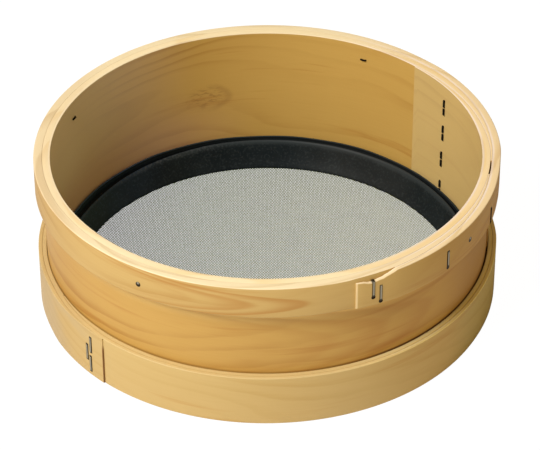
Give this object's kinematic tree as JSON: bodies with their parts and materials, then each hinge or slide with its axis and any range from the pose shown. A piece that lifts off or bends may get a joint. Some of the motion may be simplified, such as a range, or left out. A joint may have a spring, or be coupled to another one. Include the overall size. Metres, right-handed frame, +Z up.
{
  "type": "tamis drum sieve",
  "caption": "Shallow round bentwood drum sieve: lapped side hoop, rim band ending in a tongue, flat wire mesh, black corner seal and a lower hoop over the turned-up mesh, all stapled.",
  "frame": {"origin": "on the drum's axis, at the middle of the face that the sieve stands on, under the lower hoop", "axes": "+Z up through the open rim; +X to the right of the picture's viewer; +Y away from the viewer"},
  "size_m": [0.2693, 0.2683, 0.094],
  "materials": {
    "bentwood": "satin",
    "staple_wire": "satin",
    "mesh_wire": "satin",
    "black_rubber": "matte"
  },
  "bodies": {
    "root": {"side_hoop": "bentwood", "side_hoop_staples": "staple_wire", "rim_band": "bentwood", "rim_band_staples": "staple_wire", "rim_band_pins": "staple_wire", "sieve_cloth": "mesh_wire", "sieve_cloth_turned_edge": "mesh_wire", "lower_hoop": "bentwood", "lower_hoop_staples": "staple_wire", "seal_ring": "black_rubber"}
  },
  "joints": []
}
